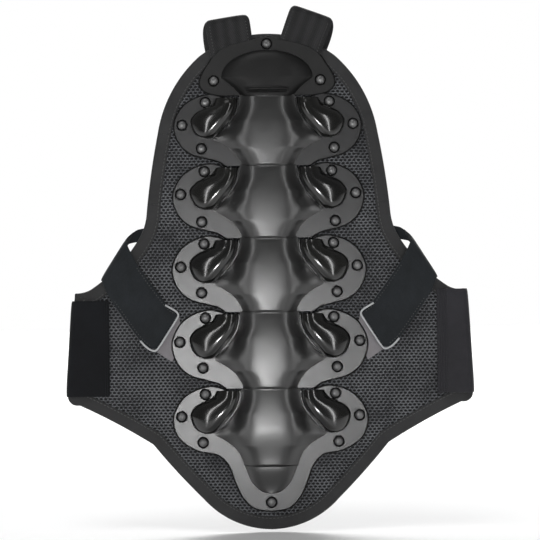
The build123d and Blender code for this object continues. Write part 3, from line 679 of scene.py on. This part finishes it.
def cap_plate():
    half = smooth(CAP_FLANGE, 90)
    loop = mirrored_loop(half)
    heights = np.concatenate([255 - 2 * np.linspace(0.1, 1, 10) ** 2, np.linspace(252.5, 207, 90),
                              np.linspace(206.6, 204.2, 5)])
    oval = 50.5 * np.sqrt(np.clip(1 - ((heights - 225) / 30.2) ** 2, 0, 1))
    widths = np.where(heights > 225, oval, width_at([CAP_DOME], heights))

    def field(x, z, w):
        up = (z - 204.2) / 50.6
        reach = np.sqrt(np.clip(1 - up**2.2, 0, 1))
        side = (1 - np.abs(x / max(w, 1)) ** 3.2) ** 0.75
        dome = 13.5 * (reach ** 0.62) * side * (1 - 0.12 * (x / 50) ** 2)
        lip = 2.4 * np.exp(-(((z - 211.6) / 1.5) ** 2)) - 1.6 * np.exp(-(((z - 209.0) / 0.8) ** 2))
        dome = dome + lip * (1 - smoothstep(19, 25, np.abs(x)))
        return np.maximum(dome, 0.3)

    parts = [flange_sheet("flange_cap", loop, all_rivets("cap"), CAP_PLASTIC)]
    parts += [shadow_line_bead(f"skirt_cap_{sign}", half, sign) for sign in (1, -1)]
    parts.append(raised_skin("dome_cap", heights, widths, field, CAP_PLASTIC, 2.6))
    finish_plate("cap", BODIES[0], parts)


def tail_plate():
    line = HINGES[-1]
    half = smooth(on_plate(TAIL_FLANGE, line, TAIL_SCALE), 130)
    loop = mirrored_loop(half)
    edges = [on_plate(p, line, TAIL_SCALE) for p in (SADDLE_EDGE, TAIL_HIP, TAIL_TONGUE)]
    heights = np.concatenate([[line + 6.5], np.linspace(line + 1, line - 82, 70),
                              np.linspace(line - 82.6, line - 85, 6),
                              np.linspace(line - 86, line - 114.8, 30)])
    widths = np.maximum(width_at(edges, heights), 0.5)
    widths[0] = 26
    upper = saddle_field(line, TAIL_SCALE, 92)

    def field(x, z, w):
        v = line - z
        step = smoothstep(82.4, 84.6, v)
        reach = 1 - smoothstep(84, 115, v) * 0.55
        low = 7.0 * reach * (1 - np.abs(x / max(w, 1)) ** 4) + 0.4
        high = upper(x, z, w) * (1 - 0.2 * smoothstep(40, 84, v))
        return high * (1 - step) + low * step

    parts = [flange_sheet("flange_tail", loop, all_rivets("tail"), FLANGE_PLASTIC)]
    parts += [shadow_line_bead(f"skirt_tail_{sign}", half, sign) for sign in (1, -1)]
    parts.append(raised_skin("saddle_tail", heights, widths, field, SADDLE_PLASTIC, 1.0))
    for sign in (1, -1):
        parts.append(lobe(f"lobe_tail_{sign}", line, TAIL_SCALE, sign))
        parts.append(lobe_rim(f"rim_tail_{sign}", line, TAIL_SCALE, sign))
    finish_plate("tail", BODIES[-1], parts)


cap_plate()
for number, segment_name in enumerate(SEGMENTS[1:5]):
    middle_plate(segment_name, HINGES[number], BODIES[number + 1])
tail_plate()

# ------------------------------------------------------------------ soft panel

OUTLINE = np.vstack([arc(*part, 26) for part in DOME] + [[(0, -274)]])
LOOP = np.vstack([OUTLINE, OUTLINE[-2:0:-1] * [-1, 1]])
MIDDLES = [(a + b) / 2 for a, b in zip(HINGES, HINGES[1:])]
SLAB_ENDS = [280.0] + MIDDLES + [-280.0]
FACE_INSET = 11.0  # how far inside the edge the cover and the lining end, under the binding
STITCH_INSET = 12.6
STITCH_PITCH = 4.2
STITCH_LENGTH = 3.0


def edge_distance(points):
    """Distance in the plane of the panel from each point to its outline."""
    fine = resample(np.vstack([LOOP, LOOP[:1]]), 900)
    return np.sqrt(((points[:, None] - fine[None]) ** 2).sum(2)).min(1)


def front_depth(distance, x, z):
    """Depth of the mesh cover: pinched at the edge, full in the middle, softly uneven."""
    swell = np.sin(x / 37.0 + 0.6) * np.sin(z / 43.0) * 0.35
    return 8.6 + 4.2 * smoothstep(0, 30, distance) + swell * smoothstep(14, 40, distance)


def back_depth(distance):
    return 2.6 - 2.3 * smoothstep(0, 26, distance)


def slab_levels(low, high, step):
    """Heights from low to high, closer together where the outline turns fast."""
    base = np.linspace(low, high, max(3, int(math.ceil((high - low) / step)) + 1))
    extra = [z for z in OUTLINE[::3, 1] if low < z < high]
    levels = np.sort(np.concatenate([base, extra]))
    keep = [levels[0]]
    for z in levels[1:]:
        if z - keep[-1] > 0.35:
            keep.append(z)
    keep[-1] = high
    return np.array(keep)


def half_width(z):
    order = np.argsort(OUTLINE[:, 1])
    return np.interp(z, OUTLINE[order, 1], OUTLINE[order, 0])


def panel_face(name, low, high, depth_of, material, columns=121):
    """One face of the panel between two heights, inside the binding's folded edge."""
    levels = slab_levels(max(low, -274 + FACE_INSET), min(high, 274 - FACE_INSET), 3.2)
    rows = []
    u = np.linspace(-1, 1, columns)
    for z in levels:
        w = max(half_width(z) - FACE_INSET * 0.8, 1.0)
        rows.append(np.stack([u * w, np.zeros(columns), np.full(columns, z)], 1))
    verts = np.vstack(rows)
    distance = edge_distance(verts[:, [0, 2]])
    verts[:, 1] = -depth_of(distance, verts[:, 0], verts[:, 2])
    return recalc(build(name, verts, grid_faces(len(levels), columns), [material],
                        verts[:, [0, 2]] * MM))


def blend_slab(obj):
    """Bake a slab's placement into its mesh."""
    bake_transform(obj)


def slab_nodes(prefix, number):
    names = [f"{prefix}_{SEGMENTS[number + 1]}"]
    return names + [f"{prefix}_{SEGMENTS[0]}"] if number == 0 else names


def binding_points():
    """Closed loop of the panel's edge, with the inward direction at each point."""
    line = resample(np.vstack([LOOP, LOOP[:1]]), 1101)[:-1]
    tangent = np.roll(line, -3, 0) - np.roll(line, 3, 0)
    tangent /= np.linalg.norm(tangent, axis=1)[:, None]
    inward = np.stack([tangent[:, 1], -tangent[:, 0]], 1)
    return line, inward


EDGE_LINE, EDGE_INWARD = binding_points()


def binding_section(k):
    """Section of the folded tape: front lip, round outer edge, back lip."""
    pucker = 0.22 * math.sin(k * 0.9) + 0.15 * math.sin(k * 0.37 + 1)
    rows = []
    for inset in (15.0, 14.6, 13.6, 11.5, 9.0, 6.0, 3.4, 1.5):
        lift = 0.25 if inset > 14.8 else 1.1
        rows.append((inset, front_depth(inset, 0, 0) + lift + pucker * (inset > 12)
                     + 0.5 * math.sin(min(inset, 12) / 12 * math.pi)))
    mid = (front_depth(0, 0, 0) + back_depth(0)) / 2
    thick = (front_depth(0, 0, 0) - back_depth(0)) / 2 + 1.0
    for a in (60, 30, 0, -30, -60):
        turn = math.radians(a)
        rows.append((0.9 - 0.9 * math.cos(turn), mid + thick * math.sin(turn)))
    for inset in (1.5, 4.0, 8.0, 12.0, 14.4, 15.0):
        lift = 0.2 if inset > 14.8 else 0.8
        rows.append((inset, back_depth(inset) - lift))
    return rows


def binding_slab(name, low, high):
    """The binding between two heights: one strip for each stretch of edge inside them."""
    line, inward = EDGE_LINE, EDGE_INWARD
    inside = (line[:, 1] >= low - 1e-6) & (line[:, 1] < high)
    count = len(line)
    verts, faces, uvs = [], [], []
    section = len(binding_section(0))
    index = {}
    for k in range(count):
        near = inside[k] or inside[(k + 1) % count] or inside[(k - 1) % count]
        if not near:
            continue
        index[k] = len(verts)
        for inset, depth in binding_section(k):
            x, z = line[k] + inward[k] * inset
            z = min(max(z, low), high) if not inside[k] else z
            verts.append((x, -depth, z))
            uvs.append((k * 1.63 * MM, inset * MM))
    for k in range(count):
        n = (k + 1) % count
        if k in index and n in index and (inside[k] or inside[n]):
            for c in range(section - 1):
                faces.append((index[k] + c, index[n] + c, index[n] + c + 1, index[k] + c + 1))
    return recalc(build(name, verts, faces, [BINDING], uvs))


def stitch_line(name, low, high, depth, lift):
    """Raised lockstitches along one lip of the binding."""
    path = EDGE_LINE + EDGE_INWARD * STITCH_INSET
    closed = np.vstack([path, path[:1]])
    total = np.linalg.norm(np.diff(closed, axis=0), axis=1).sum()
    line = resample(closed, int(total / STITCH_PITCH) + 1)[:-1]
    verts, faces = [], []
    for k in range(len(line)):
        here, after = line[k], line[(k + 1) % len(line)]
        if not low <= here[1] < high:
            continue
        along = (after - here) / np.linalg.norm(after - here)
        side = np.array([along[1], -along[0]])
        start = len(verts)
        for t, r, h in ((0, 0.1, 0.0), (0.25, 0.45, lift), (0.75, 0.45, lift), (1, 0.1, 0.0)):
            middle = here + along * STITCH_LENGTH * t
            for s, rise in ((-r, 0), (0, h), (r, 0)):
                x, z = middle + side * s
                verts.append((x, -(depth + rise), z))
        faces += grid_faces(4, 3, start)
    return recalc(build(name, verts, faces, [THREAD], np.array(verts)[:, [0, 2]] * MM))


for number in range(5):
    high, low = SLAB_ENDS[number], SLAB_ENDS[number + 1]
    cover = panel_face(f"mesh_cover_{number + 1}", low, high, front_depth, AIR_MESH)
    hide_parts(*slab_nodes("mesh", number))
    blend_slab(cover)
    back = panel_face(f"lining_cloth_{number + 1}", low, high,
                      lambda distance, x, z: back_depth(distance), LINING, 61)
    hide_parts(*slab_nodes("lining", number), *slab_nodes("foam", number))
    blend_slab(back)
    tape = binding_slab(f"edge_binding_{number + 1}", low, high)
    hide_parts(*slab_nodes("binding", number))
    blend_slab(tape)
    front_seam = stitch_line(f"front_seam_{number + 1}", low, high,
                             front_depth(STITCH_INSET, 0, 0) + 1.25, 0.4)
    back_seam = stitch_line(f"back_seam_{number + 1}", low, high,
                            back_depth(STITCH_INSET) - 0.85, -0.4)
    stitches = join(f"edge_stitches_{number + 1}", [front_seam, back_seam])
    blend_slab(stitches)

# ------------------------------------------------------------------ straps and belts

HALF_WEBBING = 25.0
RUN_DEPTH = -2.7  # middle of the shoulder straps' runs down the lining
THREAD_PITCH = 3.2
THREAD_LIFT = 0.25
WING_TOP = 215.2  # how far out the wing's edge is at the belt's top and at its bottom
WING_LOW = 222.6


def flip(rows, sign):
    """Ribbon rows mirrored to the other side."""
    return [tuple((sign * x, z, d) for x, z, d in row) for row in rows]


def ribbon(name, rows, thickness, mat, count=60, columns=13, wave=0.25):
    """Webbing between two edges given as pairs of (x, z, depth), with rounded selvedges."""
    flat = smooth([[*a, *b] for a, b in rows], count)
    first = np.stack([flat[:, 0], -flat[:, 2], flat[:, 1]], 1)
    second = np.stack([flat[:, 3], -flat[:, 5], flat[:, 4]], 1)
    middle = (first + second) / 2
    across = second - first
    width = np.linalg.norm(across, axis=1)
    along = np.gradient(middle, axis=0)
    normal = np.cross(along, across)
    normal /= np.linalg.norm(normal, axis=1)[:, None]
    s = np.sin(np.linspace(-1, 1, columns) * math.pi / 2)
    half = thickness / 2 * (1 - np.abs(s) ** 8) ** 0.5
    length = np.concatenate([[0], np.cumsum(np.linalg.norm(np.diff(middle, axis=0), axis=1))])
    ripple = wave * np.sin(length / 9.5)[:, None] * np.cos(s * 2.2 + length[:, None] / 31)
    section = np.concatenate([s, s[-2:0:-1]])
    sides = np.concatenate([half, -half[-2:0:-1]])
    ripples = np.concatenate([ripple, ripple[:, -2:0:-1]], 1)
    verts = middle[:, None] + across[:, None] * (section / 2)[None, :, None]
    verts = verts + normal[:, None] * (sides[None, :] + ripples)[:, :, None]
    ring = len(section)
    uvs = np.stack([np.broadcast_to(section * 0.5, (count, ring)) * width[:, None],
                    np.broadcast_to(length[:, None], (count, ring))], 2).reshape(-1, 2) * MM
    faces = grid_faces(count, ring, close=True)
    faces += [tuple(range(ring))[::-1], tuple(range((count - 1) * ring, count * ring))]
    return recalc(build(name, verts.reshape(-1, 3), faces, [mat], uvs))


def edge_threads(name, rows, inset, thickness, count):
    """Stitches a little inside both edges of a ribbon's outer face."""
    flat = smooth([[*a, *b] for a, b in rows], count)
    pieces = []
    for share in (inset, 1 - inset):
        line = flat[:, :3] * (1 - share) + flat[:, 3:] * share
        total = np.linalg.norm(np.diff(line, axis=0), axis=1).sum()
        line = resample(line, max(4, 2 * int(total / THREAD_PITCH)))
        for k in range(0, len(line) - 1, 2):
            a, b = line[k], line[k] * 0.3 + line[k + 1] * 0.7
            direction = (b - a) / np.linalg.norm(b - a)
            side = np.array([-direction[1], direction[0], 0]) * 0.4
            lift = np.array([0, 0, THREAD_LIFT])
            pieces.append([a - side, a + lift, a + side, b - side, b + lift, b + side])
    top = thickness / 2 + THREAD_LIFT
    verts, faces = [], []
    for piece in pieces:
        start = len(verts)
        verts += [(p[0], -(p[2] + top), p[1]) for p in piece]
        faces += [(start, start + 1, start + 4, start + 3),
                  (start + 1, start + 2, start + 5, start + 4)]
    return recalc(build(name, verts, faces, [THREAD], np.array(verts)[:, [0, 2]] * MM))


def shoulder_rows(fold, lean, shift):
    """Front leg, rounded fold and back leg of a strap hung over the panel's top."""
    angle = math.radians(lean)
    across = np.array([math.cos(angle), math.sin(angle)])
    up = np.array([-math.sin(angle), math.cos(angle)])
    rows = []
    for v, d, width, slide in (
        (-62, 14.7, 48, 0), (-40, 14.7, 48, 0), (-20, 14.9, 49, 0), (-7, 14.2, 49, 0),
        (-2.2, 12.2, 46, 0), (-0.4, 9.4, 43, 0.1), (-0.6, 6.2, 43, 0.3), (-2.6, 3.4, 46, 0.5),
        (-9, 0.8, 49, 0.8),
        (-20, -2.0, 50, 1), (-36, -2.7, 50, 1), (-64, -2.7, 50, 1),
    ):
        centre = np.array(fold) + up * v + across * shift * slide
        a, b = centre - across * width / 2, centre + across * width / 2
        rows.append(((a[0], a[1], d), (b[0], b[1], d)))
    return rows


def run_rows(points):
    return [((x - HALF_WEBBING, z, RUN_DEPTH), (x + HALF_WEBBING, z, RUN_DEPTH)) for x, z in points]


def hang_webbing(obj):
    blend_slab(obj)


FOLDS = {"left": ((-43.8, 291.8), 8.4, -4.5, [(-39, 203), (-33.5, 164.75)]),
         "right": ((51.3, 297.3), -20.5, 4.0, [(31, 203), (29.6, 164.75)])}
for side_name, (fold, lean, shift, lower) in FOLDS.items():
    upper = shoulder_rows(fold, lean, shift)
    strap = ribbon(f"shoulder_webbing_{side_name}", upper + run_rows(lower), 2.0, WEBBING, count=150)
    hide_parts(f"shoulder_strap_{side_name}")
    hang_webbing(strap)
    seam = edge_threads(f"shoulder_seam_{side_name}", upper[1:4], 0.09, 2.0, count=40)
    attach(seam, "cap")

upper_runs = []
for letter, x, start_x in (("a", -28, -33.5), ("b", 28, 29.6)):
    rows = run_rows([(start_x, 164.75), (x, 126.5), (x, 86.65)])
    upper_runs.append(ribbon(f"back_webbing_1{letter}", rows, 2.0, WEBBING))
runs = join("back_webbing_1", upper_runs)
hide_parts("strap_runs_1")
hang_webbing(runs)
lower_runs = []
for letter, x, left_end, right_end in (("a", -28, 36, 39.5), ("b", 28, 39.5, 36)):
    rows = run_rows([(x, 86.65), (x, 50), (x, 42)])
    rows.append(((x - HALF_WEBBING, left_end, -3.0), (x + HALF_WEBBING, right_end, -3.0)))
    lower_runs.append(ribbon(f"back_webbing_2{letter}", rows, 2.0, WEBBING, count=40))
runs = join("back_webbing_2", lower_runs)
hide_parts("strap_runs_2")
hang_webbing(runs)

BACK_ROWS = [((-3, 40.8, -2.8), (-50, -3, -2.8)), ((-8, 43, -5.4), (-58, -8, -5.4)),
             ((-60, 47.5, -5.4), (-90, -4.2, -5.4)), ((-105, 54, -5.2), (-118, 12, -5.2)),
             ((-132, 60, -4.4), (-136, 44.5, -4.4)), ((-144, 59.4, -4.0), (-146, 45.2, -4.2)),
             ((-150.5, 56, -3.2), (-155.5, 43.4, -4))]
FRONT_ROWS = [((-150.5, 56, -3.2), (-155.5, 43.4, -4)), ((-155.4, 51.3, 1.5), (-170.5, 26.5, 0.5)),
              ((-157.8, 47.4, 7), (-184.6, 5.8, 7)), ((-157, 44.5, 12.6), (-184.2, 1.5, 13.2)),
              ((-152.5, 34.5, 15.2), (-179.8, -9.5, 15.6)), ((-144, 19, 16), (-172, -22.5, 16)),
              ((-128, -4, 15.9), (-160, -40, 15.9)), ((-112, -25, 15.9), (-144, -62, 15.9)),
              ((-104, -31.4, 15.9), (-133.5, -71.6, 15.9)),
              ((-101.2, -35, 15.9), (-125.4, -72.6, 15.9))]
TRIM_LINE = [(-114.8, -24.6), (-108.5, -28.3), (-103.2, -31.6), (-100.6, -35.4), (-102.2, -40),
             (-112.4, -56), (-122.2, -71), (-126.6, -74.9), (-132, -73.6), (-137.5, -69.4),
             (-142.7, -63.7)]
PATCH_ROWS = [((-99.5, -37, 12.9), (-124.6, -76.5, 12.9)), ((-98, -50, 12.9), (-118, -81, 12.9)),
              ((-96, -62, 12.9), (-108, -87.5, 12.9))]
for side_name, m in (("left", 1), ("right", -1)):
    back = ribbon(f"waist_webbing_{side_name}", flip(BACK_ROWS, m), 1.8, STRAP, count=90)
    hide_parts(f"waist_strap_{side_name}")
    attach(back, "segment_3")
    cloth = ribbon(f"tab_cloth_{side_name}", flip(FRONT_ROWS, m), 1.9, STRAP, count=130,
                   columns=21, wave=0.3)
    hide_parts(f"strap_tab_{side_name}")
    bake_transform(cloth)
    seam = edge_threads(f"tab_seam_{side_name}", flip(FRONT_ROWS[5:9], m), 0.06, 1.9, count=40)
    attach(seam, f"strap_tab_{side_name}")
    line = smooth([(m * x, z) for x, z in TRIM_LINE], 90)
    trim = tube(f"tab_trim_{side_name}", [(x, -17.1, z) for x, z in line], 1.05, TRIM, 10)
    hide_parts(f"strap_trim_{side_name}")
    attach(trim, f"strap_tab_{side_name}")
    patch = ribbon(f"satin_patch_{side_name}", flip(PATCH_ROWS, m), 0.9, PATCH, count=30, wave=0.1)
    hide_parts(f"loop_patch_{side_name}")
    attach(patch, "segment_4")

BELTS = {"left": (-177, -19.5, -125, BELT_HOOK), "right": (184.5, -10, -124.5, BELT_BAND)}
RIDGES = {"left": ((-179.2, -181.4), -15.9, 0.45),
          "right": ((186.8, 189.4, 192.0, 194.6), -16.0, 0.7)}
# Round the wing's edge: how far out from it, and the depth.
WRAP_SECTION = [(-4, 14.7), (0.2, 13.2), (2.0, 9.5), (2.3, 4), (2.2, -3), (1.2, -7.6), (-1.5, -8.8)]
# Behind the panel: distance from the middle, lean of the outer end, and the depth.
BELT_SECTION = [(225.6, 7.6, -9.0), (219, 6.5, -8.7), (205, 4, -8.6), (160, 0, -8.6),
                (110, 0, -8.6), (60, 0, -8.6), (16, 0, -8.6), (14.4, 0, -8.6)]
for side_name, (inner, high, low, cloth_material) in BELTS.items():
    m = 1 if inner > 0 else -1
    front = [(abs(inner), 14.6), (abs(inner) + 3, 14.9), (198, 14.9)]
    rows = [((m * x, high, d), (m * x, low, d)) for x, d in front]
    for out, d in WRAP_SECTION:
        rows.append(((m * (WING_TOP + out + 0.6), high, d), (m * (WING_LOW + out), low, d)))
    anchor = ribbon(f"belt_wrap_{side_name}", rows, 2.2, cloth_material, count=90, columns=41,
                    wave=0.12)
    ridges = []
    ridge_places, ridge_y, ridge_radius = RIDGES[side_name]
    for x in ridge_places:
        path = [(x, ridge_y, z) for z in np.linspace(high - 0.8, low + 0.8, 40)]
        ridges.append(tube(f"hem_{abs(x):.0f}", path, ridge_radius, cloth_material))
    anchor = join(f"belt_wrap_{side_name}", [anchor] + ridges)
    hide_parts(f"belt_anchor_{side_name}")
    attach(anchor, "segment_4")
    back_top = min(high, -19.5)
    rows = [((m * (x - lean), back_top, d), (m * x, low, d)) for x, lean, d in BELT_SECTION]
    belt = ribbon(f"belt_cloth_{side_name}", rows, 2.2, BELT_BAND, count=110, columns=41, wave=0.3)
    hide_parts(f"waist_belt_{side_name}")
    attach(belt, f"belt_{side_name}")

pad_lo, pad_hi = (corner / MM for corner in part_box("belt_hook_pad"))
pad_depth = -(pad_lo.y + pad_hi.y) / 2
pad_rows = [((x, pad_hi.z, pad_depth), (x, pad_lo.z, pad_depth))
            for x in np.linspace(pad_lo.x, pad_hi.x, 5)]
pad = ribbon("hook_pad", pad_rows, 1.2, BELT_HOOK, count=30, columns=31, wave=0.05)
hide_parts("belt_hook_pad")
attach(pad, "belt_left")
